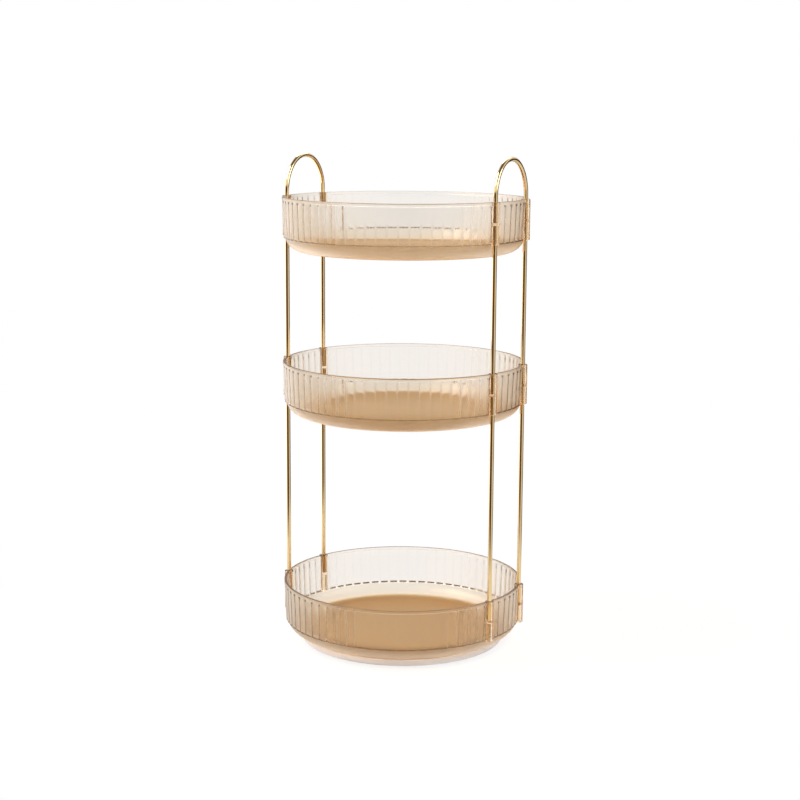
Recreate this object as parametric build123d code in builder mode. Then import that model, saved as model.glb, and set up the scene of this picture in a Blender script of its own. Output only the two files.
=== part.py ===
import os
from math import cos, pi, sin, sqrt

from build123d import *

os.makedirs("parts", exist_ok=True)

# Rotating makeup organizer: three round fluted trays on rods, on a swivel base.
# Millimetres, +Z up, origin at the middle of the base where it stands, handles on +X and -X.

# Tray moulding
rim_radius = 112.0
rim_height = 2.8
rim_thickness = 2.7
rim_round = 0.8
tray_height = 50.0
wall_height = 37.0  # top of the rim down to the lower ends of the flutes
wall_draft = 1.2  # how far the wall closes in over its height
flute_count = 72
flute_depth = 0.5
flute_setback = 0.2  # crests behind the face of the rim
foot_radius = 89.5
foot_width = 3.5
foot_height = 1.5
floor_share = 0.38  # edge of the flat floor, on the way from inside the foot ring out to the rods
floor_thickness = 2.2
curve_lead = 7.0  # height above the flutes' ends where the inside starts to curve in

# Rods and their sockets in the tray wall
rod_diameter = 4.0
rod_inset = 1.0  # rod circle inside the rim's face
rod_fit = 0.05
rod_chamfer = 0.4
rod_bowl_gap = 0.3
socket_diameter = 8.4
socket_partition = 2.5
upper_socket_depth = 18.0
handle_width = 65.0  # between the middles of a handle's two legs
handle_rise = 38.3  # top of the rim up to the top of a handle

# Heights of the two tiers, rim to rim
lower_tier_pitch = 208.0
upper_tier_pitch = 150.5

# Swivel base
foot_pad_radius = 6.0
foot_pad_thickness = 2.8
foot_pad_recess = 1.0
foot_pad_inset = 15.0  # middles of the pads inside the base plate's edge
foot_pad_count = 6
base_overhang = 5.5  # base plate outside the tray's foot ring
base_wall = 2.2
base_floor_thickness = 2.0
base_edge_round = 2.0
base_gap = 0.6  # running gap between the base plate and the tray
turntable_thickness = 2.6
turntable_fit = 0.3

# Ball bearing between base plate and turntable
ball_diameter = 4.0
ball_count = 16
race_radius = 62.0
race_depth = 0.25
race_clearance = 0.05
cage_width = 10.0
cage_thickness = 1.6
cage_clearance = 0.15

# Pivot screw and its washer
shoulder_radius = 4.0
shoulder_clearance = 0.05
pivot_head_radius = 7.5
pivot_head_height = 1.4
pivot_recess_radius = 9.5
pivot_recess_depth = 2.3
pivot_thread_radius = 1.75
pivot_thread_length = 3.2
washer_radius = 8.5
washer_thickness = 0.6
washer_gap = 0.05
base_hub_radius = 12.0
base_hub_roof = 1.6
turntable_hub_radius = 8.0
hub_gap = 0.2

# Screws between turntable and bottom tray
screw_circle = 36.0
screw_count = 4
screw_radius = 1.25
screw_length = 3.7
screw_head_radius = 2.6
screw_head_height = 1.5
screw_boss_radius = 3.5
screw_boss_height = 1.5
screw_boss_clearance = 0.2
screw_clearance = 0.15
access_hole_radius = 4.5
thread_fit = 0.03
thread_spare = 0.2
drive_slot_width = 0.9
drive_slot_depth = 0.7
drive_slot_share = 1.3  # length of a drive slot over the radius of its head

cut_overrun = 2.0

# Heights above the surface that it stands on
base_underside = foot_pad_thickness - foot_pad_recess
base_floor_top = base_underside + base_floor_thickness
bearing_gap = ball_diameter - 2 * race_depth
ball_level = base_floor_top + bearing_gap / 2
turntable_underside = base_floor_top + bearing_gap
turntable_top = turntable_underside + turntable_thickness
bottom_level = turntable_top - foot_height
middle_level = bottom_level + lower_tier_pitch
top_level = middle_level + upper_tier_pitch
base_wall_top = bottom_level - base_gap
washer_top = base_underside + pivot_recess_depth
base_hub_top = washer_top + base_hub_roof
shoulder_top = base_hub_top + hub_gap
pivot_head_top = washer_top - washer_thickness - washer_gap

# Heights inside the tray, from its own underside
ledge_height = tray_height - wall_height
band_height = tray_height - rim_height
floor_height = foot_height + floor_thickness
curve_height = ledge_height + curve_lead
upper_seat = tray_height - upper_socket_depth
lower_seat = upper_seat - socket_partition

# Radii and places that follow
rod_radius = rod_diameter / 2
bore_radius = rod_radius + rod_fit
rod_circle = rim_radius - rod_inset
ledge_radius = rod_circle - rod_radius - rod_bowl_gap
recess_radius = foot_radius - foot_width
rim_inner_radius = rim_radius - rim_thickness
curve_radius = rim_inner_radius - wall_draft
floor_radius = recess_radius + floor_share * (rod_circle - recess_radius)
crest_top_radius = rim_radius - flute_setback
crest_bottom_radius = crest_top_radius - wall_draft
turntable_radius = recess_radius - turntable_fit
base_radius = foot_radius + base_overhang
foot_pad_circle = base_radius - foot_pad_inset
ball_radius = ball_diameter / 2
leg_y = handle_width / 2
leg_x = sqrt(rod_circle**2 - leg_y**2)
socket_places = {
    "front_right": (leg_x, -leg_y),
    "back_right": (leg_x, leg_y),
    "back_left": (-leg_x, leg_y),
    "front_left": (-leg_x, -leg_y),
}
upright = (Align.CENTER, Align.CENTER, Align.MIN)


def around(radius, step):
    """A point on a circle, counted in flutes from +X."""
    angle = 2 * pi * step / flute_count
    return (radius * cos(angle), radius * sin(angle))


def flute_outline(crest_radius):
    """Convex arcs side by side, each from one valley over a crest to the next valley."""
    valley_radius = crest_radius - flute_depth
    for flute in range(flute_count):
        ThreePointArc(
            around(valley_radius, flute),
            around(crest_radius, flute + 0.5),
            around(valley_radius, flute + 1),
        )


# The tray moulding, on its own underside
with BuildPart() as moulding:
    with BuildSketch(Plane.XZ):
        with BuildLine():
            Polyline(
                (ledge_radius, ledge_height),
                (ledge_radius, band_height),
                (rim_radius, band_height),
                (rim_radius, tray_height),
                (0, tray_height),
                (0, foot_height),
                (recess_radius, foot_height),
                (recess_radius, 0),
                (foot_radius, 0),
            )
            EllipticalCenterArc(
                (foot_radius, ledge_height),
                ledge_radius - foot_radius,
                ledge_height,
                start_angle=270,
                arc_size=90,
            )
        make_face()
    revolve(axis=Axis.Z)
    with BuildSketch(Plane.XY.offset(ledge_height)):
        with BuildLine():
            flute_outline(crest_bottom_radius)
        make_face()
    with BuildSketch(Plane.XY.offset(band_height)):
        with BuildLine():
            flute_outline(crest_top_radius)
        make_face()
    loft(ruled=True)
    with BuildSketch(Plane.XZ):
        with BuildLine():
            Polyline(
                (curve_radius, curve_height),
                (rim_inner_radius, tray_height),
                (rim_inner_radius, tray_height + cut_overrun),
                (0, tray_height + cut_overrun),
                (0, floor_height),
                (floor_radius, floor_height),
            )
            EllipticalCenterArc(
                (floor_radius, curve_height),
                curve_radius - floor_radius,
                curve_height - floor_height,
                start_angle=270,
                arc_size=90,
            )
        make_face()
    revolve(axis=Axis.Z, mode=Mode.SUBTRACT)
    rim_edges = moulding.edges().filter_by(GeomType.CIRCLE).group_by(Axis.Z)[-1]
    fillet(rim_edges, rim_round)
    with BuildSketch(Plane.XY.offset(ledge_height)):
        with Locations(*socket_places.values()):
            Circle(socket_diameter / 2)
    extrude(amount=wall_height)
    with BuildSketch(Plane.XY.offset(upper_seat)):
        with Locations(*socket_places.values()):
            Circle(bore_radius)
    extrude(amount=upper_socket_depth + cut_overrun, mode=Mode.SUBTRACT)
    with BuildSketch(Plane.XY.offset(lower_seat)):
        with Locations(*socket_places.values()):
            Circle(bore_radius)
    extrude(amount=ledge_height - lower_seat - cut_overrun, mode=Mode.SUBTRACT)

with BuildPart() as top_tray:
    with Locations((0, 0, top_level)):
        add(moulding.part)
top_tray.part.label = "top_tray"
export_step(top_tray.part, "parts/top_tray.step")

with BuildPart() as middle_tray:
    with Locations((0, 0, middle_level)):
        add(moulding.part)
middle_tray.part.label = "middle_tray"
export_step(middle_tray.part, "parts/middle_tray.step")

# The bottom tray has screw bosses under its floor, for the turntable
with BuildPart() as bottom_tray:
    with Locations((0, 0, bottom_level)):
        add(moulding.part)
    with BuildSketch(Plane.XY.offset(turntable_top)):
        with PolarLocations(screw_circle, screw_count, start_angle=45):
            Circle(screw_boss_radius)
    extrude(amount=-screw_boss_height)
    with BuildSketch(Plane.XY.offset(turntable_underside)):
        with PolarLocations(screw_circle, screw_count, start_angle=45):
            Circle(screw_radius + thread_fit)
    extrude(amount=screw_length + thread_spare, mode=Mode.SUBTRACT)
bottom_tray.part.label = "bottom_tray"
export_step(bottom_tray.part, "parts/bottom_tray.step")

# Rods of the two tiers, each from one tray's upper sockets to the next tray's lower ones
tiers = {
    "lower_rod": (bottom_level + upper_seat, middle_level + lower_seat),
    "upper_rod": (middle_level + upper_seat, top_level + lower_seat),
}
for tier, (rod_bottom, rod_top) in tiers.items():
    for corner, place in socket_places.items():
        with BuildPart() as rod:
            with BuildSketch(Plane.XY.offset(rod_bottom)):
                with Locations(place):
                    Circle(rod_radius)
            extrude(amount=rod_top - rod_bottom)
            chamfer(rod.edges().filter_by(GeomType.CIRCLE), rod_chamfer)
        rod.part.label = f"{tier}_{corner}"
        export_step(rod.part, f"parts/{tier}_{corner}.step")

# Handles: a rod bent to a half circle on two straight legs
leg_bottom = top_level + upper_seat
arch_level = top_level + tray_height + handle_rise - rod_radius - leg_y
for side, handle_x in {"left": -leg_x, "right": leg_x}.items():
    with BuildPart() as handle:
        with BuildLine(Plane.YZ.offset(handle_x)) as bend:
            Line((-leg_y, leg_bottom), (-leg_y, arch_level))
            CenterArc((0, arch_level), leg_y, 180, -180)
            Line((leg_y, arch_level), (leg_y, leg_bottom))
        with BuildSketch(Plane(origin=(handle_x, -leg_y, leg_bottom))):
            Circle(rod_radius)
        sweep()
        leg_ends = handle.edges().filter_by(GeomType.CIRCLE).group_by(Axis.Z)[0]
        chamfer(leg_ends, rod_chamfer)
    handle.part.label = f"{side}_handle"
    export_step(handle.part, f"parts/{side}_handle.step")

# Base plate: a shallow dish with a hub for the pivot, a ball race and seats for the feet
with BuildPart() as base_plate:
    with BuildSketch(Plane.XZ) as dish:
        with BuildLine():
            Polyline(
                (0, base_underside),
                (base_radius, base_underside),
                (base_radius, base_wall_top),
                (base_radius - base_wall, base_wall_top),
                (base_radius - base_wall, base_floor_top),
                (base_hub_radius, base_floor_top),
                (base_hub_radius, base_hub_top),
                (0, base_hub_top),
                close=True,
            )
        make_face()
        lower_corner = dish.vertices().group_by(Axis.Y)[0].sort_by(Axis.X)[-1]
        fillet(lower_corner, base_edge_round)
    revolve(axis=Axis.Z)
    with BuildSketch(Plane.XY.offset(base_underside)):
        Circle(pivot_recess_radius)
    extrude(amount=pivot_recess_depth, mode=Mode.SUBTRACT)
    with BuildSketch(Plane.XY.offset(base_underside)):
        Circle(shoulder_radius + shoulder_clearance)
        with Locations((screw_circle, 0)):
            Circle(access_hole_radius)
    extrude(amount=base_hub_top, mode=Mode.SUBTRACT)
    with BuildSketch(Plane.XY.offset(base_underside)):
        with PolarLocations(foot_pad_circle, foot_pad_count):
            Circle(foot_pad_radius)
    extrude(amount=foot_pad_recess, mode=Mode.SUBTRACT)
    with Locations((0, 0, ball_level)):
        Torus(race_radius, ball_radius + race_clearance, mode=Mode.SUBTRACT)
base_plate.part.label = "base_plate"
export_step(base_plate.part, "parts/base_plate.step")

with BuildPart() as rubber_feet:
    with PolarLocations(foot_pad_circle, foot_pad_count):
        Cylinder(foot_pad_radius, foot_pad_thickness, align=upright)
rubber_feet.part.label = "rubber_feet"
export_step(rubber_feet.part, "parts/rubber_feet.step")

# Turntable: the disc that carries the bottom tray, with the upper ball race
with BuildPart() as turntable:
    with BuildSketch(Plane.XY.offset(turntable_underside)):
        Circle(turntable_radius)
    extrude(amount=turntable_thickness)
    with BuildSketch(Plane.XY.offset(shoulder_top)):
        Circle(turntable_hub_radius)
    extrude(amount=turntable_underside - shoulder_top)
    with BuildSketch(Plane.XY.offset(shoulder_top)):
        Circle(pivot_thread_radius + thread_fit)
    extrude(amount=pivot_thread_length + thread_spare, mode=Mode.SUBTRACT)
    with BuildSketch(Plane.XY.offset(turntable_top)):
        with PolarLocations(screw_circle, screw_count, start_angle=45):
            Circle(screw_boss_radius + screw_boss_clearance)
    extrude(amount=-screw_boss_height - screw_boss_clearance, mode=Mode.SUBTRACT)
    with BuildSketch(Plane.XY.offset(turntable_underside)):
        with PolarLocations(screw_circle, screw_count, start_angle=45):
            Circle(screw_radius + screw_clearance)
    extrude(amount=turntable_thickness, mode=Mode.SUBTRACT)
    with Locations((0, 0, ball_level)):
        Torus(race_radius, ball_radius + race_clearance, mode=Mode.SUBTRACT)
turntable.part.label = "turntable"
export_step(turntable.part, "parts/turntable.step")

with BuildPart() as bearing_balls:
    with Locations((0, 0, ball_level)):
        with PolarLocations(race_radius, ball_count):
            Sphere(ball_radius)
bearing_balls.part.label = "bearing_balls"
export_step(bearing_balls.part, "parts/bearing_balls.step")

with BuildPart() as ball_cage:
    with BuildSketch(Plane.XY.offset(ball_level - cage_thickness / 2)):
        Circle(race_radius + cage_width / 2)
        Circle(race_radius - cage_width / 2, mode=Mode.SUBTRACT)
        with PolarLocations(race_radius, ball_count):
            Circle(ball_radius + cage_clearance, mode=Mode.SUBTRACT)
    extrude(amount=cage_thickness)
ball_cage.part.label = "ball_cage"
export_step(ball_cage.part, "parts/ball_cage.step")

# Pivot screw: head and shoulder under the turntable's hub, thread inside it
with BuildPart() as pivot_screw:
    with BuildSketch(Plane.XY.offset(pivot_head_top)):
        Circle(pivot_head_radius)
    extrude(amount=-pivot_head_height)
    with BuildSketch(Plane.XY.offset(pivot_head_top)):
        Circle(shoulder_radius)
    extrude(amount=shoulder_top - pivot_head_top)
    with BuildSketch(Plane.XY.offset(shoulder_top)):
        Circle(pivot_thread_radius)
    extrude(amount=pivot_thread_length)
    with BuildSketch(Plane.XY.offset(pivot_head_top - pivot_head_height)):
        with PolarLocations(0, 2, angular_range=180):
            Rectangle(pivot_head_radius * drive_slot_share, drive_slot_width)
    extrude(amount=drive_slot_depth, mode=Mode.SUBTRACT)
pivot_screw.part.label = "pivot_screw"
export_step(pivot_screw.part, "parts/pivot_screw.step")

with BuildPart() as pivot_washer:
    with BuildSketch(Plane.XY.offset(washer_top)):
        Circle(washer_radius)
        Circle(shoulder_radius + screw_clearance, mode=Mode.SUBTRACT)
    extrude(amount=-washer_thickness)
pivot_washer.part.label = "pivot_washer"
export_step(pivot_washer.part, "parts/pivot_washer.step")

# Screws up through the turntable into the bottom tray
with BuildPart() as tray_screws:
    with BuildSketch(Plane.XY.offset(turntable_underside)):
        with PolarLocations(screw_circle, screw_count, start_angle=45):
            Circle(screw_head_radius)
    extrude(amount=-screw_head_height)
    with BuildSketch(Plane.XY.offset(turntable_underside)):
        with PolarLocations(screw_circle, screw_count, start_angle=45):
            Circle(screw_radius)
    extrude(amount=screw_length)
    with BuildSketch(Plane.XY.offset(turntable_underside - screw_head_height)):
        with PolarLocations(screw_circle, screw_count, start_angle=45):
            Rectangle(screw_head_radius * drive_slot_share, drive_slot_width)
            Rectangle(drive_slot_width, screw_head_radius * drive_slot_share)
    extrude(amount=drive_slot_depth, mode=Mode.SUBTRACT)
tray_screws.part.label = "tray_screws"
export_step(tray_screws.part, "parts/tray_screws.step")
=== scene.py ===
import math

import bmesh
import bpy
import numpy as np
from mathutils import Matrix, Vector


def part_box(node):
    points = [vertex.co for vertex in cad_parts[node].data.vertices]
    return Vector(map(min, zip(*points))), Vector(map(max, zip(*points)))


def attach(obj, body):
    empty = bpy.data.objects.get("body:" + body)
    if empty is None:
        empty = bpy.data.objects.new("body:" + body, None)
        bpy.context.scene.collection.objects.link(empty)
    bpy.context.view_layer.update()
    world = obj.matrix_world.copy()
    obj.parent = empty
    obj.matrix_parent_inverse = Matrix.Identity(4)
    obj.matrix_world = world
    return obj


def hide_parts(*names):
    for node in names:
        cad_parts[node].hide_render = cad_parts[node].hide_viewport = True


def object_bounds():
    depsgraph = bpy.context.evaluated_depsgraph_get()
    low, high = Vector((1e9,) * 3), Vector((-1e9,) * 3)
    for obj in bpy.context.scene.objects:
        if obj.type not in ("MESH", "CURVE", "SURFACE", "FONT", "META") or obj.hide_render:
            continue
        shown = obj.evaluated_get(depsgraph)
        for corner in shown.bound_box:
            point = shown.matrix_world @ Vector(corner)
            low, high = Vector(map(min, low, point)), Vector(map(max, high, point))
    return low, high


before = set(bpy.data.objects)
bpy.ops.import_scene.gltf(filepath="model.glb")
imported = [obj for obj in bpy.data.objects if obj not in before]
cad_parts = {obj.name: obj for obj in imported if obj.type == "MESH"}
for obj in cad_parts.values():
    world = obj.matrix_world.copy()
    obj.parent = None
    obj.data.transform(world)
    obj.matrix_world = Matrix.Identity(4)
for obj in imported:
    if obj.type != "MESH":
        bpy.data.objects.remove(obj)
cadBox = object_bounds()
tau = 2 * math.pi
weldDistance = 1e-7


# Camera of the photograph: metres, degrees, and a focal length in pixels of the 800 px frame
shot = {
    "azimuth": 27.82,
    "distance": 1.537,  # from the tower's axis, level
    "height": 0.4981,
    "pitchDown": 9.943,
    "yaw": 0.123,
    "roll": 0.328,
    "focalPixels": 1673.8,
    "framePixels": 800,
    "sensor": 36.0,
    "clip": (0.05, 50.0),
}


def makeCamera(s):
    data = bpy.data.cameras.new("shot")
    data.sensor_width = s["sensor"]
    data.lens = s["focalPixels"] / s["framePixels"] * s["sensor"]
    data.clip_start, data.clip_end = s["clip"]
    turn = math.radians(s["azimuth"])
    camera = bpy.data.objects.new("shot", data)
    aim = (
        Matrix.Rotation(turn + math.radians(s["yaw"]), 4, "Z")
        @ Matrix.Rotation(math.radians(90 - s["pitchDown"]), 4, "X")
        @ Matrix.Rotation(math.radians(s["roll"]), 4, "Z")
    )
    place = (s["distance"] * math.sin(turn), -s["distance"] * math.cos(turn), s["height"])
    camera.matrix_world = Matrix.Translation(place) @ aim
    bpy.context.scene.collection.objects.link(camera)
    bpy.context.scene.camera = camera


makeCamera(shot)
print("camera placed")


# Grid surfaces: every piece starts as an array of rings, points[row, column]

def ringFaces(rows, columns, offset):
    # quads between neighbouring rings, and one fan at each end onto a pole point that follows the grid
    index = offset + np.arange(rows * columns).reshape(rows, columns)
    beside = np.roll(index, -1, axis=1)
    quads = np.stack([index[:-1], beside[:-1], beside[1:], index[1:]], axis=-1).reshape(-1, 4)
    firstPole = np.full(columns, offset + rows * columns)
    lastPole = firstPole + 1
    firstFan = np.stack([beside[0], index[0], firstPole], axis=-1)
    lastFan = np.stack([index[-1], beside[-1], lastPole], axis=-1)
    return quads.tolist() + firstFan.tolist() + lastFan.tolist()


def closedGrid(points, offset=0):
    # the rings with their two end points, as vertices and faces of one closed skin
    rows, columns = points.shape[:2]
    poles = np.stack([points[0].mean(axis=0), points[-1].mean(axis=0)])
    return np.concatenate([points.reshape(-1, 3), poles]), ringFaces(rows, columns, offset)


def turned(radii, heights, angles):
    # (radius cos a, radius sin a, height), with one radius for each row, or for each row and column
    radii = np.broadcast_to(np.asarray(radii, float).reshape(len(heights), -1), (len(heights), len(angles)))
    heights = np.broadcast_to(np.asarray(heights, float)[:, None], radii.shape)
    return np.stack([radii * np.cos(angles), radii * np.sin(angles), heights], axis=-1)


def joined(grids):
    # several closed skins as one mesh
    points, faces, count = [], [], 0
    for grid in grids:
        skinPoints, skinFaces = closedGrid(grid, count)
        points.append(skinPoints)
        faces += skinFaces
        count += len(skinPoints)
    return np.concatenate(points), faces


def meshObject(name, skin):
    mesh = bpy.data.meshes.new(name)
    mesh.from_pydata(skin[0].tolist(), [], skin[1])
    shape = bmesh.new()
    shape.from_mesh(mesh)
    bmesh.ops.remove_doubles(shape, verts=shape.verts, dist=weldDistance)
    bmesh.ops.recalc_face_normals(shape, faces=shape.faces)
    shape.to_mesh(mesh)
    shape.free()
    piece = bpy.data.objects.new(name, mesh)
    bpy.context.scene.collection.objects.link(piece)
    return piece


def cutAway(piece, grids):
    # takes closed shapes out of a piece
    tool = meshObject(piece.name + "_tool", joined(grids))
    cut = piece.modifiers.new("cut", "BOOLEAN")
    cut.operation = "DIFFERENCE"
    cut.solver = "EXACT"
    cut.object = tool
    depsgraph = bpy.context.evaluated_depsgraph_get()
    result = bpy.data.meshes.new_from_object(piece.evaluated_get(depsgraph))
    piece.modifiers.clear()
    piece.data = result
    bpy.data.objects.remove(tool)


def smoothFaces(piece, sharpDegrees):
    mesh = piece.data
    mesh.polygons.foreach_set("use_smooth", np.ones(len(mesh.polygons), bool))
    mesh.set_sharp_from_angle(angle=math.radians(sharpDegrees))
    weighted = piece.modifiers.new("flats", "WEIGHTED_NORMAL")
    weighted.mode = "FACE_AREA"
    weighted.keep_sharp = True


def dress(piece, material, body, slot, *nodes):
    piece.data.materials.clear()
    piece.data.materials.append(material)
    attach(piece, body)
    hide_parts(*nodes)


def arcSteps(count):
    # quarter turn in even steps, as sine and cosine
    lean = np.linspace(0, math.pi / 2, count)
    return np.sin(lean), np.cos(lean)


def postGrid(x, y, low, high, radius, sides=48):
    # plain upright cylinder, used to cut bores
    angles = np.arange(sides) * tau / sides
    return turned([radius, radius], [low, high], angles) + np.array([x, y, 0])


# Trays

cornerNames = ["front_right", "back_right", "back_left", "front_left"]


def middleOf(node):
    low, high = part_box(node)
    return (low + high) / 2


cornerPlaces = {name: middleOf("upper_rod_" + name) for name in cornerNames}
cornerAngles = {name: math.atan2(p.y, p.x) for name, p in cornerPlaces.items()}
rodCircle = math.hypot(cornerPlaces["front_right"].x, cornerPlaces["front_right"].y)
rodRadius = (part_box("upper_rod_front_right")[1].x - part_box("upper_rod_front_right")[0].x) / 2

tray = {
    "rimRadius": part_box("top_tray")[1].y,
    "height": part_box("top_tray")[1].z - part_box("top_tray")[0].z,
    "rimHeight": 0.0028,
    "rimThickness": 0.0027,
    "rimRound": 0.0008,
    "roundSteps": 6,
    "bandRound": 0.0003,
    "wallHeight": 0.037,
    "wallDraft": 0.0012,
    "wallSteps": 7,
    "fluteCount": 72,
    "fluteDepth": 0.0005,
    "fluteRound": 2.2,
    "fluteSetback": 0.0002,
    "fluteSteps": 12,
    "fluteShares": (0.2, 0.4, 0.6, 0.8),
    # painted shade: the ledge dashes and the dots under the band are dark marks painted where shade lies;
    # these set their heights and reach
    "ledgeShadeHeight": 0.0008,
    "dotHeight": 0.0018,
    "markMargin": 1.2,
    "dashShare": 0.75,  # dashes reach this far from a crest, dots and grooves start this far from it
    "dotShare": 0.65,
    "grooveShare": 0.7,
    "ledgeRound": 0.0005,
    "footRadius": 0.0895,
    "footWidth": 0.0035,
    "footHeight": 0.0016,
    "footLine": 0.0006,
    "recessShares": (0.96, 0.7, 0.4, 0.02),
    "floorSpread": 0.006,
    "floorFade": 0.004,
    "floorHeight": 0.0037,
    "floorShares": (0.02, 0.2, 0.4, 0.6, 0.8, 0.94, 0.985),
    "curveLead": 0.007,
    "curveSteps": 20,
    "bowlGap": 0.0003,
    "socketRadius": 0.0042,
    "socketSteps": 33,
    "socketMargin": 1.1,
    "boreClearance": 0.00005,
    "upperSocketDepth": 0.018,
    "partition": 0.0025,
    "cutOverrun": 0.002,
    "maskSlack": 0.0001,
    "lineSlack": 0.0002,
    "sharpDegrees": 32,
}


def trayAngles(s):
    # even steps over the flutes, and asin(socket / circle * sin t) over each socket, which keeps it round
    steps = s["fluteCount"] * s["fluteSteps"]
    even = np.arange(steps) * tau / steps
    share = s["socketRadius"] / rodCircle
    lean = np.linspace(-math.pi / 2, math.pi / 2, s["socketSteps"])
    fine = []
    clear = np.ones(steps, bool)
    for angle in cornerAngles.values():
        off = (even - angle + math.pi) % tau - math.pi
        clear &= np.abs(off) > math.asin(share) * s["socketMargin"]
        fine.append((angle + np.arcsin(share * np.sin(lean))) % tau)
    return np.sort(np.concatenate([even[clear]] + fine))


def socketReach(angles, radius, side):
    # where a ray from the axis leaves (side 1) or enters (side -1) a socket's round column:
    # circle cos a + side sqrt(radius^2 - (circle sin a)^2), and a metre out of the way where there is none
    reach = np.full(len(angles), -float(side))
    for angle in cornerAngles.values():
        off = (angles - angle + math.pi) % tau - math.pi
        across = rodCircle * np.sin(off)
        hit = (np.abs(across) <= radius) & (np.cos(off) > 0)
        root = np.sqrt(np.clip(radius**2 - across**2, 0, None))
        reach = np.where(hit, rodCircle * np.cos(off) + side * root, reach)
    return reach


def fluteShare(s, angles):
    # u from -1 to 1 across each flute, 0 on its crest
    return (angles / tau * s["fluteCount"]) % 1 * 2 - 1


def fluteRadius(s, angles, crest):
    # crest - depth |u|^round
    return crest - s["fluteDepth"] * np.abs(fluteShare(s, angles)) ** s["fluteRound"]


def trayGrid(s):
    # one section carried round the axis: up the inside, over the rim, down the flutes and the bowl,
    # and back under the floor
    angles = trayAngles(s)
    ring = np.ones(len(angles))
    rows = []

    def inside(radius, height, inset=0):
        reach = socketReach(angles, s["socketRadius"] - inset, -1)
        rows.append((np.minimum(radius + inset, reach), height))

    def outside(radius, height, inset=0):
        reach = socketReach(angles, s["socketRadius"] - inset, 1)
        rows.append((np.maximum(radius - inset, reach), height))

    top = s["height"]
    ledge = top - s["wallHeight"]
    band = top - s["rimHeight"]
    floorRadius = s["footRadius"] + s["floorSpread"]
    rimInner = s["rimRadius"] - s["rimThickness"]
    curveRadius = rimInner - s["wallDraft"]
    curveTop = ledge + s["curveLead"]
    ledgeRadius = rodCircle - rodRadius - s["bowlGap"]
    crestTop = s["rimRadius"] - s["fluteSetback"]
    sine, cosine = arcSteps(s["curveSteps"])
    smallSine, smallCosine = arcSteps(s["roundSteps"])

    for share in s["floorShares"]:
        rows.append((ring * floorRadius * share, s["floorHeight"]))
    for across, up in zip(sine, cosine):
        height = curveTop - (curveTop - s["floorHeight"]) * up
        inside(floorRadius + (curveRadius - floorRadius) * across, height)
    wallTop = top - s["rimRound"]
    for share in np.linspace(0, 1, s["wallSteps"])[1:]:
        inside(curveRadius + s["wallDraft"] * share, curveTop + (wallTop - curveTop) * share)
    for up, left in zip(smallSine[1:], smallCosine[1:]):
        inside(rimInner, wallTop + s["rimRound"] * up, s["rimRound"] * (1 - left))
    for up, left in zip(smallSine[::-1], smallCosine[::-1]):
        outside(s["rimRadius"], wallTop + s["rimRound"] * up, s["rimRound"] * (1 - left))
    for down, left in zip(smallSine, smallCosine):
        outside(s["rimRadius"], band + s["bandRound"] * (1 - down), s["bandRound"] * (1 - left))
    fluteLength = band - ledge - s["ledgeRound"]
    ledgeShadeShare = s["ledgeShadeHeight"] / fluteLength
    dot = s["dotHeight"] / fluteLength
    margin = s["markMargin"]
    for share in (0, dot, dot * margin, *s["fluteShares"], 1 - ledgeShadeShare * margin, 1 - ledgeShadeShare, 1):
        outside(fluteRadius(s, angles, crestTop - s["wallDraft"] * share), band - fluteLength * share)
    crestEnd = fluteRadius(s, angles, crestTop - s["wallDraft"])
    for down, left in zip(smallSine[1:], smallCosine[1:]):
        outside(crestEnd, ledge + s["ledgeRound"] * (1 - down), s["ledgeRound"] * (1 - left))
    for down, left in zip(sine, cosine):
        rows.append((ring * (s["footRadius"] + (ledgeRadius - s["footRadius"]) * left), ledge * (1 - down)))
    recess = s["footRadius"] - s["footWidth"]
    rows.append((ring * recess, 0))
    rows.append((ring * recess, s["footHeight"]))
    for share in s["recessShares"]:
        rows.append((ring * recess * share, s["footHeight"]))
    return turned(np.array([row[0] for row in rows]), [row[1] for row in rows], angles)


def addMask(mesh, name, values):
    mesh.attributes.new(name, "FLOAT", "POINT").data.foreach_set("value", np.asarray(values, float))


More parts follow.
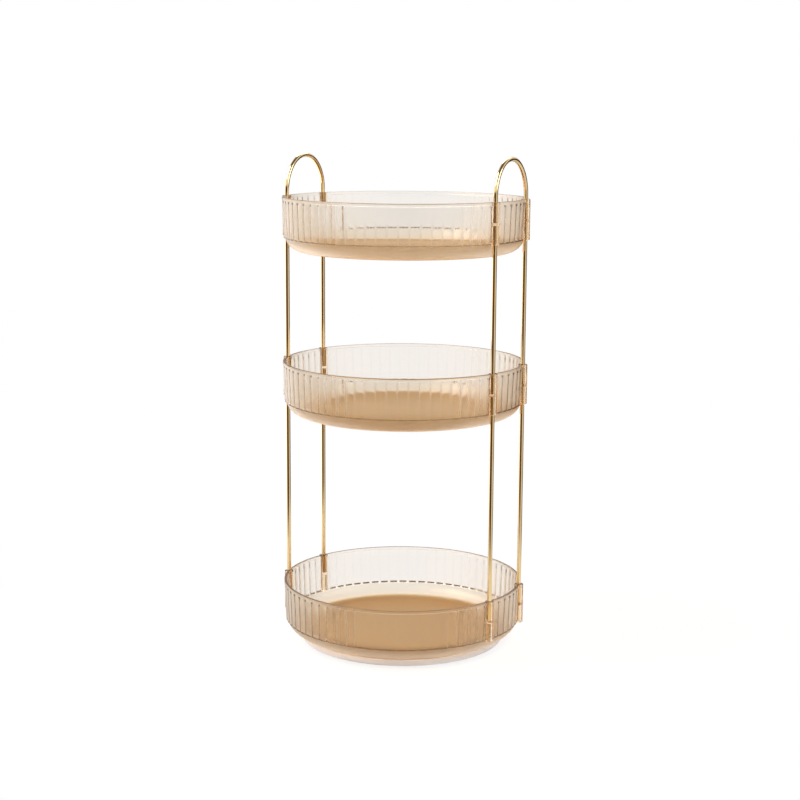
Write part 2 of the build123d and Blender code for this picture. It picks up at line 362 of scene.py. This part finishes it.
def addMasks(mesh, s):
    # 0 to 1 at each point, for the shader: where the plastic is frosted, hazy or seen end on, and where
    #                                       painted shade goes: lines along the rim, the foot ring and the
    #                                       ledge, dashes, dots and grooves
    flat = np.empty(len(mesh.vertices) * 3)
    mesh.vertices.foreach_get("co", flat)
    x, y, z = flat.reshape(-1, 3).T.copy()
    mesh.vertices.foreach_get("normal", flat)
    up = flat.reshape(-1, 3)[:, 2]
    slack, line = s["maskSlack"], s["lineSlack"]
    radius = np.hypot(x, y)
    across = np.abs(fluteShare(s, np.arctan2(y, x)))
    ledge = s["height"] - s["wallHeight"]
    band = s["height"] - s["rimHeight"]
    outer = radius > rodCircle - rodRadius
    floorEdge = s["footRadius"] + s["floorSpread"]
    onFloor = np.clip((floorEdge + s["floorFade"] - radius) / s["floorFade"], 0, 1)
    onBowl = (z < ledge + line) & (radius > floorEdge)
    fromSocket = np.min([np.hypot(x - p.x, y - p.y) for p in cornerPlaces.values()], axis=0)
    inBore = fromSocket < rodRadius + s["boreClearance"] + slack
    addMask(mesh, "floor", onFloor)
    addMask(mesh, "bowl", onBowl)
    addMask(mesh, "inner", onBowl & (up > 0))
    # painted shadow: the bottom of the foot ring is darkened for the shaded gap over the base plate;
    # painted shade: a dark line along the top of the rim
    onFoot = (z < s["footLine"]) & (radius > s["footRadius"] - slack)
    addMask(mesh, "rim", onFoot | (z > s["height"] - line) & ~inBore)
    onBoss = fromSocket < s["socketRadius"] + slack
    onWall = outer & ~onBoss
    # painted shade: near-black dashes along the ledge and dark dots under the band
    atLedge = np.abs(z - ledge) < s["ledgeRound"] + s["ledgeShadeHeight"] + slack
    addMask(mesh, "dash", atLedge & (across < s["dashShare"]) & onWall)
    # painted shade: a dark line along the ledge's rounding, shown from outside
    addMask(mesh, "ledge", (np.abs(z - ledge) < s["ledgeRound"] + slack) & onWall)
    atBand = (np.abs(z - band) < s["dotHeight"] + slack) & (radius < s["rimRadius"] - line)
    addMask(mesh, "band", atBand & (across > s["dotShare"]) & onWall)
    onFlutes = (z > ledge) & (z < band - slack) & onWall
    # the groove mask places painted shade and a rougher finish in the flute valleys
    deep = np.clip((across - s["grooveShare"]) / (1 - s["grooveShare"]), 0, 1)
    addMask(mesh, "groove", deep * onFlutes)
    addMask(mesh, "boss", onBoss)
    addMask(mesh, "bore", inBore)


def makeTray(s):
    moulding = meshObject("moulding", closedGrid(trayGrid(s)))
    bore = rodRadius + s["boreClearance"]
    upperSeat = s["height"] - s["upperSocketDepth"]
    lowerSeat = upperSeat - s["partition"]
    mouth = s["height"] - s["wallHeight"] - s["cutOverrun"]
    tools = []
    for place in cornerPlaces.values():
        tools.append(postGrid(place.x, place.y, upperSeat, s["height"] + s["cutOverrun"], bore))
        tools.append(postGrid(place.x, place.y, mouth, lowerSeat, bore))
    cutAway(moulding, tools)
    addMasks(moulding.data, s)
    return moulding


moulding = makeTray(tray)
trays = {}
for node in ("top_tray", "middle_tray", "bottom_tray"):
    piece = bpy.data.objects.new(node + "_moulding", moulding.data.copy())
    bpy.context.scene.collection.objects.link(piece)
    piece.data.transform(Matrix.Translation((0, 0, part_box(node)[0].z)))
    smoothFaces(piece, tray["sharpDegrees"])
    trays[node] = piece
bpy.data.objects.remove(moulding)
print("trays:", len(trays), "with", len(trays["top_tray"].data.polygons), "faces each")


# Rods and handles: a circle carried along a path, drawn in at both ends

rod = {
    "sides": 40,
    "endRound": 0.0004,
    "roundSteps": 5,
    "lengthSteps": 12,
    "archSteps": 96,
    "sharpDegrees": 50,
}


def makeBar(node, path, s):
    # path + radius (cos a across + sin a beside), beside square to the path and to across
    across = np.array([1.0, 0, 0])
    along = np.gradient(path, axis=0)
    along /= np.linalg.norm(along, axis=1)[:, None]
    beside = np.cross(along, across)
    inset = s["endRound"] * (1 - arcSteps(s["roundSteps"])[0])
    radii = np.full(len(path), rodRadius)
    radii[: s["roundSteps"]] = rodRadius - inset
    radii[-s["roundSteps"]:] = (rodRadius - inset)[::-1]
    angles = np.arange(s["sides"]) * tau / s["sides"]
    circle = np.cos(angles)[:, None] * across + np.sin(angles)[:, None] * beside[:, None, :]
    points = path[:, None, :] + radii[:, None, None] * circle
    piece = meshObject(node + "_bar", closedGrid(points))
    smoothFaces(piece, s["sharpDegrees"])
    return piece


def endSteps(s):
    # distances of the rings that round off an end
    return s["endRound"] * (1 - arcSteps(s["roundSteps"])[1])


def makeRod(node, s):
    low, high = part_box(node)
    middle = middleOf(node)
    ends = endSteps(s)
    inner = np.linspace(low.z + s["endRound"], high.z - s["endRound"], s["lengthSteps"])[1:-1]
    z = np.concatenate([low.z + ends, inner, high.z - ends[::-1]])
    path = np.stack([np.full(len(z), middle.x), np.full(len(z), middle.y), z], axis=-1)
    return makeBar(node, path, s)


def makeHandle(node, s):
    # two straight legs and a half circle between them, in a plane square to X
    low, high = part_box(node)
    reach = (high.y - low.y) / 2 - rodRadius
    archHeight = high.z - rodRadius - reach
    straight = np.linspace(low.z + s["endRound"], archHeight, s["lengthSteps"])[1:]
    leg = np.concatenate([low.z + endSteps(s), straight])
    turn = np.linspace(math.pi, 0, s["archSteps"])[1:-1]
    y = np.concatenate([np.full(len(leg), -reach), reach * np.cos(turn), np.full(len(leg), reach)])
    z = np.concatenate([leg, archHeight + reach * np.sin(turn), leg[::-1]])
    path = np.stack([np.full(len(y), middleOf(node).x), y, z], axis=-1)
    return makeBar(node, path, s)


bars = {}
for tier in ("lower_rod", "upper_rod"):
    for corner in cornerNames:
        bars[f"{tier}_{corner}"] = makeRod(f"{tier}_{corner}", rod)
for node in ("left_handle", "right_handle"):
    bars[node] = makeHandle(node, rod)
print("bars:", len(bars))


# Base plate: a shallow dish with rounded edges

plate = {
    "wall": 0.0022,
    "floorThickness": 0.002,
    "edgeRound": 0.002,
    "edgeSteps": 9,
    "lipRound": 0.0006,
    "insideRound": 0.001,
    "roundSteps": 5,
    "poleRadius": 0.0002,
    "underRadii": (0.03, 0.06),
    "floorRadius": 0.06,
    "hubRadius": 0.012,
    "hubTop": 0.0057,
    "recessRadius": 0.0095,
    "recessDepth": 0.0023,
    "shoulderHole": 0.00405,
    "footRecess": 0.001,
    "accessRadius": 0.0045,
    "accessCircle": 0.036,
    "footCircle": 0.08,
    "footRadius": 0.006,
    "footPlay": 1.01,
    "footCount": 6,
    "cutOverrun": 0.002,
    "sides": 288,
    "recessSides": 96,
    "holeSides": 64,
    "sharpDegrees": 40,
}


def makeBasePlate(s):
    # section from the axis along the underside, round the edge, up the wall, over the lip
    # and back along the floor
    low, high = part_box("base_plate")
    radius, under = high.x, low.z
    inner = radius - s["wall"]
    floorTop = under + s["floorThickness"]
    edge, lip, hollow = s["edgeRound"], s["lipRound"], s["insideRound"]
    hub, hubTop = s["hubRadius"], s["hubTop"]
    large = list(zip(*arcSteps(s["edgeSteps"])))
    small = list(zip(*arcSteps(s["roundSteps"])))
    section = [(reach, under) for reach in (s["poleRadius"], *s["underRadii"])]
    section += [(radius - edge * (1 - a), under + edge * (1 - b)) for a, b in large]
    section += [(radius - lip * (1 - b), high.z - lip * (1 - a)) for a, b in small]
    section += [(inner + lip * (1 - a), high.z - lip * (1 - b)) for a, b in small]
    section += [(inner - hollow * (1 - b), floorTop + hollow * (1 - a)) for a, b in small]
    section += [(s["floorRadius"], floorTop), (hub, floorTop), (hub, hubTop), (s["poleRadius"], hubTop)]
    angles = np.arange(s["sides"]) * tau / s["sides"]
    radii, heights = np.array(section).T
    piece = meshObject("base_plate_dish", closedGrid(turned(radii, heights, angles)))
    over, sides = s["cutOverrun"], s["holeSides"]
    start = under - over
    tools = [
        postGrid(0, 0, start, under + s["recessDepth"], s["recessRadius"], s["recessSides"]),
        postGrid(0, 0, start, hubTop + over, s["shoulderHole"], sides),
        postGrid(s["accessCircle"], 0, start, floorTop + over, s["accessRadius"], sides),
    ]
    seat, play = under + s["footRecess"], s["footRadius"] * s["footPlay"]
    for foot in range(s["footCount"]):
        angle = foot * tau / s["footCount"]
        x, y = s["footCircle"] * math.cos(angle), s["footCircle"] * math.sin(angle)
        tools.append(postGrid(x, y, start, seat, play, sides))
    cutAway(piece, tools)
    smoothFaces(piece, s["sharpDegrees"])
    return piece


basePlate = makeBasePlate(plate)
print("base plate:", len(basePlate.data.polygons), "faces")


# Shared shader groups

def newGroup(name, inputs, outputs):
    group = bpy.data.node_groups.new(name, "ShaderNodeTree")
    for label, kind, value in inputs:
        socket = group.interface.new_socket(label, in_out="INPUT", socket_type=kind)
        if value is not None:
            socket.default_value = value
    for label, kind in outputs:
        group.interface.new_socket(label, in_out="OUTPUT", socket_type=kind)
    return group, group.nodes.new("NodeGroupInput"), group.nodes.new("NodeGroupOutput")


def mathNode(tree, operation, first, second=None, third=None):
    node = tree.nodes.new("ShaderNodeMath")
    node.operation = operation
    for socket, value in zip(node.inputs, (first, second, third)):
        if value is None:
            continue
        if isinstance(value, (int, float)):
            socket.default_value = value
        else:
            tree.links.new(value, socket)
    return node.outputs[0]


def noiseNode(tree, vector, scale, detail):
    node = tree.nodes.new("ShaderNodeTexNoise")
    node.inputs["Detail"].default_value = detail
    tree.links.new(vector, node.inputs["Vector"])
    tree.links.new(scale, node.inputs["Scale"])
    return node.outputs["Fac"]


def ramp(tree, value, span, ends=(0.0, 1.0), kind="SMOOTHSTEP"):
    # from one end to the other while the value crosses the span
    node = tree.nodes.new("ShaderNodeMapRange")
    node.interpolation_type = kind
    for label, number in zip(("From Min", "From Max", "To Min", "To Max"), (*span, *ends)):
        node.inputs[label].default_value = number
    tree.links.new(value, node.inputs["Value"])
    return node.outputs["Result"]


def between(tree, value, ends, span=(0.0, 1.0)):
    return ramp(tree, value, span, ends, "LINEAR")


marks = {
    "smudgeScale": 40.0,
    "smudgeDetail": 3.0,
    "smudgeSpan": (0.38, 0.68),
    "grainScale": 1800.0,
    "grainDetail": 2.0,
}


def makeHandlingGroup(s):
    # soft smudges and a fine grain, each 0 to 1, from Object coordinates
    kind = "NodeSocketFloat"
    group, given, out = newGroup(
        "handling",
        [("Smudge Scale", kind, s["smudgeScale"]), ("Grain Scale", kind, s["grainScale"])],
        [("Smudge", kind), ("Grain", kind)],
    )
    coords = group.nodes.new("ShaderNodeTexCoord").outputs["Object"]
    smudge = noiseNode(group, coords, given.outputs["Smudge Scale"], s["smudgeDetail"])
    grain = noiseNode(group, coords, given.outputs["Grain Scale"], s["grainDetail"])
    group.links.new(between(group, smudge, (0.0, 1.0), s["smudgeSpan"]), out.inputs["Smudge"])
    group.links.new(grain, out.inputs["Grain"])
    return group


handling = makeHandlingGroup(marks)


def newMaterial(name):
    material = bpy.data.materials.new(name)
    material.use_nodes = True
    tree = material.node_tree
    return material, tree, tree.nodes["Principled BSDF"], tree.nodes["Material Output"]


def addHandling(tree, s):
    node = tree.nodes.new("ShaderNodeGroup")
    node.node_tree = handling
    node.inputs["Smudge Scale"].default_value = s["smudgeScale"]
    if "grainScale" in s:
        node.inputs["Grain Scale"].default_value = s["grainScale"]
    return node


def mixColour(tree, factor, first, second):
    node = tree.nodes.new("ShaderNodeMix")
    node.data_type = "RGBA"
    for socket, value in ((node.inputs[6], first), (node.inputs[7], second)):
        if isinstance(value, tuple):
            socket.default_value = (*value, 1)
        else:
            tree.links.new(value, socket)
    tree.links.new(factor, node.inputs[0])
    return node.outputs[2]


def mixValue(tree, factor, first, second):
    node = tree.nodes.new("ShaderNodeMix")
    tree.links.new(factor, node.inputs["Factor"])
    tree.links.new(first, node.inputs["A"])
    node.inputs["B"].default_value = second
    return node.outputs["Result"]


def addBump(tree, shader, height, s):
    node = tree.nodes.new("ShaderNodeBump")
    node.inputs["Strength"].default_value = s["grainStrength"]
    node.inputs["Distance"].default_value = s["grainDepth"]
    tree.links.new(height, node.inputs["Height"])
    tree.links.new(node.outputs["Normal"], shader.inputs["Normal"])


# Materials

amber = {
    "clearColour": (0.95, 0.96, 0.975),
    "slantColour": (0.97, 0.93, 0.86),
    "slantPower": 1.5,
    "bowlColour": (0.87, 0.84, 0.78),
    # painted shade: darker tan for the inner bowl seen aslant
    "bowlSideShadeColour": (0.58, 0.42, 0.23),
    "floorColour": (0.44, 0.325, 0.155),
    # painted shade: colour of the dark lines along the rim, the foot ring and the ledge
    "lineShadeColour": (0.28, 0.18, 0.10),
    # painted shade: near-black colour of the ledge dashes and band dots
    "dashShadeColour": (0.02, 0.012, 0.006),
    # painted shade: dark colour in the flute grooves, seen from the side
    "grooveShadeColour": (0.05, 0.03, 0.016),
    "grooveRoughness": 0.25,
    "grooveFrom": (0.22, 0.55),
    "grooveInside": 0.06,
    "blurFrom": (0.06, 0.24),
    "blurRoughness": 0.3,
    "bossColour": (0.97, 0.92, 0.84),
    "boreColour": (0.93, 0.84, 0.70),
    "mirrorTint": (0.85, 0.62, 0.38),
    "absorbColour": (0.92, 0.72, 0.44),
    "absorbDensity": 100.0,
    "lampColour": (0.95, 0.90, 0.82),
    "index": 1.49,
    "transmission": 0.98,
    "clearRoughness": (0.03, 0.06),
    "bowlRoughness": 0.34,
    "floorRoughness": 0.6,
    "smudgeScale": 38.0,
    "grainScale": 2600.0,
    "grainStrength": 0.35,
    "grainDepth": 0.0002,
}


def maskNode(tree, name):
    node = tree.nodes.new("ShaderNodeAttribute")
    node.attribute_name = name
    return node.outputs["Fac"]


def makeAmber(s):
    # clear tinted plastic, frosted over the floor, hazy in the bowl, brown where it is seen end on, with
    # painted shade: dark lines along the rim, the foot ring and the ledge, near-black dashes, dots and
    # grooves, and a darker inner bowl seen aslant
    material, tree, shader, output = newMaterial("amber_clear")
    facing = tree.nodes.new("ShaderNodeLayerWeight").outputs["Facing"]
    aslant = mathNode(tree, "POWER", facing, s["slantPower"])
    onBowl, onFloor = maskNode(tree, "bowl"), maskNode(tree, "floor")
    onBoss, onGroove = maskNode(tree, "boss"), maskNode(tree, "groove")
    # painted shade: the inner bowl turns darker tan as it is seen aslant
    onSide = mathNode(tree, "MULTIPLY", maskNode(tree, "inner"), aslant)
    fromInside = tree.nodes.new("ShaderNodeNewGeometry").outputs["Backfacing"]
    fromOutside = mathNode(tree, "SUBTRACT", 1.0, fromInside)
    # painted shade: dark brown lines along the rim, the foot ring and the ledge
    onLedge = mathNode(tree, "MULTIPLY", maskNode(tree, "ledge"), fromOutside)
    shadeLine = mathNode(tree, "MAXIMUM", maskNode(tree, "rim"), onLedge)
    # painted shade in the grooves, dots and dashes shows from the side, as 1 - cos grows; grooves show less
    # from inside
    sideOn = ramp(tree, facing, s["grooveFrom"])
    endOn = mathNode(tree, "MAXIMUM", fromInside, sideOn)
    grooveShare = mathNode(tree, "MULTIPLY_ADD", fromInside, s["grooveInside"] - 1, 1.0)
    inGroove = mathNode(tree, "MULTIPLY", mathNode(tree, "MULTIPLY", onGroove, grooveShare), endOn)
    underBand = mathNode(tree, "MULTIPLY", maskNode(tree, "band"), sideOn)
    onDash = mathNode(tree, "MULTIPLY", maskNode(tree, "dash"), endOn)
    dark = mathNode(tree, "MAXIMUM", onDash, underBand)
    touch = addHandling(tree, s)
    rough = between(tree, touch.outputs["Smudge"], s["clearRoughness"])
    clearSide = mathNode(tree, "SUBTRACT", 1.0, onBoss)
    blurred = mathNode(tree, "MULTIPLY", ramp(tree, facing, s["blurFrom"]), clearSide)
    rough = mixValue(tree, blurred, rough, s["blurRoughness"])
    rough = mixValue(tree, onGroove, rough, s["grooveRoughness"])
    rough = mixValue(tree, onBowl, rough, s["bowlRoughness"])
    rough = mixValue(tree, onFloor, rough, s["floorRoughness"])
    tree.links.new(rough, shader.inputs["Roughness"])
    colour = mixColour(tree, aslant, s["clearColour"], s["slantColour"])
    colour = mixColour(tree, onBowl, colour, s["bowlColour"])
    colour = mixColour(tree, onSide, colour, s["bowlSideShadeColour"])
    colour = mixColour(tree, onFloor, colour, s["floorColour"])
    colour = mixColour(tree, onBoss, colour, s["bossColour"])
    colour = mixColour(tree, maskNode(tree, "bore"), colour, s["boreColour"])
    colour = mixColour(tree, inGroove, colour, s["grooveShadeColour"])
    colour = mixColour(tree, shadeLine, colour, s["lineShadeColour"])
    colour = mixColour(tree, dark, colour, s["dashShadeColour"])
    tree.links.new(colour, shader.inputs["Base Color"])
    addBump(tree, shader, mathNode(tree, "MULTIPLY", touch.outputs["Grain"], onFloor), s)
    shader.inputs["IOR"].default_value = s["index"]
    shader.inputs["Transmission Weight"].default_value = s["transmission"]
    shader.inputs["Specular Tint"].default_value = (*s["mirrorTint"], 1)
    lamps = tree.nodes.new("ShaderNodeBsdfTransparent")
    lamps.inputs["Color"].default_value = (*s["lampColour"], 1)
    mix = tree.nodes.new("ShaderNodeMixShader")
    path = tree.nodes.new("ShaderNodeLightPath")
    tree.links.new(path.outputs["Is Shadow Ray"], mix.inputs["Fac"])
    tree.links.new(shader.outputs["BSDF"], mix.inputs[1])
    tree.links.new(lamps.outputs["BSDF"], mix.inputs[2])
    tree.links.new(mix.outputs["Shader"], output.inputs["Surface"])
    absorb = tree.nodes.new("ShaderNodeVolumeAbsorption")
    absorb.inputs["Color"].default_value = (*s["absorbColour"], 1)
    absorb.inputs["Density"].default_value = s["absorbDensity"]
    tree.links.new(absorb.outputs["Volume"], output.inputs["Volume"])
    return material


plastic = {
    "metallic": 0.0,
    "smudgeScale": 30.0,
    "grainScale": 1500.0,
    "grainStrength": 0.2,
    "grainDepth": 0.00006,
}
steel = {
    "metallic": 1.0,
    "smudgeScale": 90.0,
}
finishes = {
    "polished_gold": {
        "metallic": 1.0,
        "smudgeScale": 55.0,
        "colour": (0.88, 0.66, 0.36),
        "wornColour": (0.80, 0.59, 0.31),
        "roughness": (0.05, 0.12),
    },
    # painted shade: white plastic given a darker grey-lilac colour than its own white, for the shade under
    # the trays
    "shaded_white_plastic": {
        **plastic,
        "colour": (0.72, 0.71, 0.75),
        "wornColour": (0.68, 0.67, 0.71),
        "roughness": (0.30, 0.42),
    },
    "natural_plastic": {
        **plastic,
        "colour": (0.70, 0.70, 0.67),
        "wornColour": (0.63, 0.63, 0.60),
        "roughness": (0.40, 0.55),
    },
    "grey_rubber": {
        **plastic,
        "colour": (0.060, 0.060, 0.063),
        "wornColour": (0.045, 0.045, 0.047),
        "roughness": (0.65, 0.85),
        "grainDepth": 0.0001,
    },
    "bright_steel": {
        **steel,
        "colour": (0.70, 0.71, 0.73),
        "wornColour": (0.62, 0.63, 0.65),
        "roughness": (0.08, 0.18),
    },
    "zinc_steel": {
        **steel,
        "colour": (0.62, 0.63, 0.66),
        "wornColour": (0.50, 0.51, 0.54),
        "roughness": (0.28, 0.42),
    },
}


def makeFinish(name, s):
    # colour and roughness vary with handling; plastic also has a fine grain
    material, tree, shader = newMaterial(name)[:3]
    touch = addHandling(tree, s)
    smudge = touch.outputs["Smudge"]
    tree.links.new(mixColour(tree, smudge, s["colour"], s["wornColour"]), shader.inputs["Base Color"])
    tree.links.new(between(tree, smudge, s["roughness"]), shader.inputs["Roughness"])
    shader.inputs["Metallic"].default_value = s["metallic"]
    if "grainDepth" in s:
        addBump(tree, shader, touch.outputs["Grain"], s)
    return material


amberClear = makeAmber(amber)
made = {name: makeFinish(name, s) for name, s in finishes.items()}

for node, piece in trays.items():
    dress(piece, amberClear, "tower", "tray_amber", node)
for node, piece in bars.items():
    dress(piece, made["polished_gold"], "tower", "rod_gold", node)
dress(basePlate, made["shaded_white_plastic"], "base", "base_white", "base_plate")
plainNodes = {
    "turntable": "shaded_white_plastic",
    "ball_cage": "natural_plastic",
    "bearing_balls": "bright_steel",
    "pivot_screw": "zinc_steel",
    "pivot_washer": "zinc_steel",
    "tray_screws": "zinc_steel",
    "rubber_feet": "grey_rubber",
}
for node, name in plainNodes.items():
    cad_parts[node].data.materials.clear()
    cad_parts[node].data.materials.append(made[name])
print("materials:", len(bpy.data.materials))


# Stage: white floor, white surroundings, soft lamps

stage = {
    "floorSize": 6.0,
    "floorColour": (0.9, 0.9, 0.9),
    "floorRoughness": 0.9,
    "floorGlow": 0.85,
    "shadeRadius": (0.12, 0.45),  # the floor's shading fades to plain white between these
    "worldDiffuse": 0.38,
    "overheadFrom": (0.55, 0.82),
    "overheadDark": 0.85,
    "overheadThrough": 0.45,
    "flagAzimuth": -7.0,
    "flagEdge": (-0.60, -0.15),
    "flagColour": (0.10, 0.055, 0.03),
    "flagReach": (0.3, 0.55),
    "flagBottom": (-0.40, -0.27),
    "flagTop": (0.12, 0.30),
    "boxAzimuth": -80.0,
    "boxEdge": (0.2, 0.7),
    "boxLight": (0.78, 2.0),
    "floorDrop": 0.0002,
    "wallPasses": (2.0, 1.4),  # middle and reach of the transmission depth inside the nearest wall
    "lamps": [
        # name, azimuth, elevation, distance, size, watts
        ("key", -50, 48, 1.9, 1.2, 34),
        ("fill", 95, 30, 1.9, 1.2, 9),
        ("back", 205, 45, 1.9, 1.2, 14),
    ],
}


def makeSurroundGroup(s):
    # what a mirrored ray meets round the object, from its direction and its rise (the sine of its slope):
    # a soft box on one side and two dark brown flags, which stand low
    group, given, out = newGroup(
        "surround",
        [("Direction", "NodeSocketVector", None), ("Rise", "NodeSocketFloat", 0.0)],
        [("Flag", "NodeSocketFloat"), ("Box", "NodeSocketFloat")],
    )
    split = group.nodes.new("ShaderNodeSeparateXYZ")
    group.links.new(given.outputs["Direction"], split.inputs[0])
    front = mathNode(group, "MULTIPLY", split.outputs["Y"], -1.0)
    angle = mathNode(group, "ARCTAN2", split.outputs["X"], front)
    wave = mathNode(group, "MULTIPLY_ADD", angle, 2.0, -2.0 * math.radians(s["flagAzimuth"]))
    lean = mathNode(group, "ADD", angle, -math.radians(s["boxAzimuth"]))
    flag = ramp(group, mathNode(group, "COSINE", wave), s["flagEdge"])
    low = ramp(group, given.outputs["Rise"], s["flagBottom"])
    high = ramp(group, given.outputs["Rise"], s["flagTop"], (1.0, 0.0))
    flag = mathNode(group, "MULTIPLY", flag, mathNode(group, "MULTIPLY", low, high))
    group.links.new(flag, out.inputs["Flag"])
    box = ramp(group, mathNode(group, "COSINE", lean), s["boxEdge"], s["boxLight"])
    more = mathNode(group, "MULTIPLY", mathNode(group, "SUBTRACT", box, 1.0), high)
    group.links.new(more, out.inputs["Box"])
    return group


def mirrorLight(tree, direction, rise, mirrored, s):
    # strength and colour: 1 and white, or for a mirrored ray those of the soft box and the flags
    node = tree.nodes.new("ShaderNodeGroup")
    node.node_tree = surround
    tree.links.new(direction, node.inputs["Direction"])
    tree.links.new(rise, node.inputs["Rise"])
    strength = mathNode(tree, "MULTIPLY_ADD", node.outputs["Box"], mirrored, 1.0)
    flagged = mathNode(tree, "MULTIPLY", node.outputs["Flag"], mirrored)
    return strength, mixColour(tree, flagged, (1.0, 1.0, 1.0), s["flagColour"])


def mirroredRay(tree, path, s):
    # 1 for rays that were mirrored on their way, but not those turned back inside the nearest wall
    inWall = mathNode(tree, "COMPARE", path.outputs["Transmission Depth"], *s["wallPasses"])
    outside = mathNode(tree, "SUBTRACT", 1.0, inWall)
    glossy = mathNode(tree, "MINIMUM", path.outputs["Glossy Depth"], 1.0)
    return mathNode(tree, "MULTIPLY", glossy, outside)


def seenRay(tree, path):
    # 1 for rays that show the background straight, mirrored or through clear plastic
    first = mathNode(tree, "MAXIMUM", path.outputs["Is Camera Ray"], path.outputs["Is Glossy Ray"])
    return mathNode(tree, "MAXIMUM", first, path.outputs["Is Transmission Ray"])


def makeFloor(s):
    half = s["floorSize"] / 2
    drop = -s["floorDrop"]
    corners = [(-half, -half, drop), (half, -half, drop), (half, half, drop), (-half, half, drop)]
    mesh = bpy.data.meshes.new("floor")
    mesh.from_pydata(corners, [], [(0, 1, 2, 3)])
    floor = bpy.data.objects.new("floor", mesh)
    bpy.context.scene.collection.objects.link(floor)
    material, tree, shader, output = newMaterial("floor_white")
    shader.inputs["Base Color"].default_value = (*s["floorColour"], 1)
    shader.inputs["Roughness"].default_value = s["floorRoughness"]
    glow = tree.nodes.new("ShaderNodeEmission")
    mix = tree.nodes.new("ShaderNodeMixShader")
    coords = tree.nodes.new("ShaderNodeTexCoord").outputs["Object"]
    length = tree.nodes.new("ShaderNodeVectorMath")
    length.operation = "LENGTH"
    tree.links.new(coords, length.inputs[0])
    fade = between(tree, length.outputs["Value"], (s["floorGlow"], 1.0), s["shadeRadius"])
    path = tree.nodes.new("ShaderNodeLightPath")
    tree.links.new(mathNode(tree, "MULTIPLY", seenRay(tree, path), fade), mix.inputs["Fac"])
    far = ramp(tree, length.outputs["Value"], s["flagReach"])
    geometry = tree.nodes.new("ShaderNodeNewGeometry")
    split = tree.nodes.new("ShaderNodeSeparateXYZ")
    tree.links.new(geometry.outputs["Incoming"], split.inputs[0])
    rise = mathNode(tree, "MULTIPLY", split.outputs["Z"], -1.0)
    mirrored = mathNode(tree, "MULTIPLY", mirroredRay(tree, path, s), far)
    strength, colour = mirrorLight(tree, coords, rise, mirrored, s)
    tree.links.new(strength, glow.inputs["Strength"])
    tree.links.new(colour, glow.inputs["Color"])
    tree.links.new(shader.outputs["BSDF"], mix.inputs[1])
    tree.links.new(glow.outputs["Emission"], mix.inputs[2])
    below = tree.nodes.new("ShaderNodeMixShader")
    clear = tree.nodes.new("ShaderNodeBsdfTransparent")
    tree.links.new(geometry.outputs["Backfacing"], below.inputs["Fac"])
    tree.links.new(mix.outputs["Shader"], below.inputs[1])
    tree.links.new(clear.outputs["BSDF"], below.inputs[2])
    tree.links.new(below.outputs["Shader"], output.inputs["Surface"])
    mesh.materials.append(material)


def makeWorld(s):
    # white all round, darker overhead and at the flags for rays that are mirrored or bent
    world = bpy.data.worlds.new("studio")
    world.use_nodes = True
    bpy.context.scene.world = world
    tree = world.node_tree
    back = tree.nodes["Background"]
    direction = tree.nodes.new("ShaderNodeTexCoord").outputs["Generated"]
    split = tree.nodes.new("ShaderNodeSeparateXYZ")
    tree.links.new(direction, split.inputs[0])
    overhead = ramp(tree, split.outputs["Z"], s["overheadFrom"])
    path = tree.nodes.new("ShaderNodeLightPath")
    mirrored = mirroredRay(tree, path, s)
    bent = mathNode(tree, "MULTIPLY", path.outputs["Is Transmission Ray"], s["overheadThrough"])
    most = mathNode(tree, "MULTIPLY_ADD", mirrored, s["overheadDark"], bent)
    shade = mathNode(tree, "MULTIPLY", overhead, most)
    seen = mathNode(tree, "SUBTRACT", 1.0, shade)
    light, colour = mirrorLight(tree, direction, split.outputs["Z"], mirrored, s)
    seen = mathNode(tree, "MULTIPLY", seen, light)
    tree.links.new(colour, back.inputs["Color"])
    more = mathNode(tree, "SUBTRACT", seen, s["worldDiffuse"])
    strength = mathNode(tree, "MULTIPLY_ADD", seenRay(tree, path), more, s["worldDiffuse"])
    tree.links.new(strength, back.inputs["Strength"])


def makeLamps(s):
    middle = (cadBox[0] + cadBox[1]) / 2
    for name, azimuth, elevation, distance, size, watts in s["lamps"]:
        data = bpy.data.lights.new(name, "AREA")
        data.shape = "DISK"
        data.size = size
        data.energy = watts
        a, e = math.radians(azimuth), math.radians(elevation)
        back = Matrix.Rotation(a, 4, "Z") @ Matrix.Rotation(math.radians(90) - e, 4, "X")
        lamp = bpy.data.objects.new(name, data)
        lamp.matrix_world = Matrix.Translation(middle) @ back @ Matrix.Translation((0, 0, distance))
        bpy.context.scene.collection.objects.link(lamp)


surround = makeSurroundGroup(stage)
makeFloor(stage)
makeWorld(stage)
makeLamps(stage)
bpy.context.scene.view_settings.view_transform = "Standard"
print("stage set")
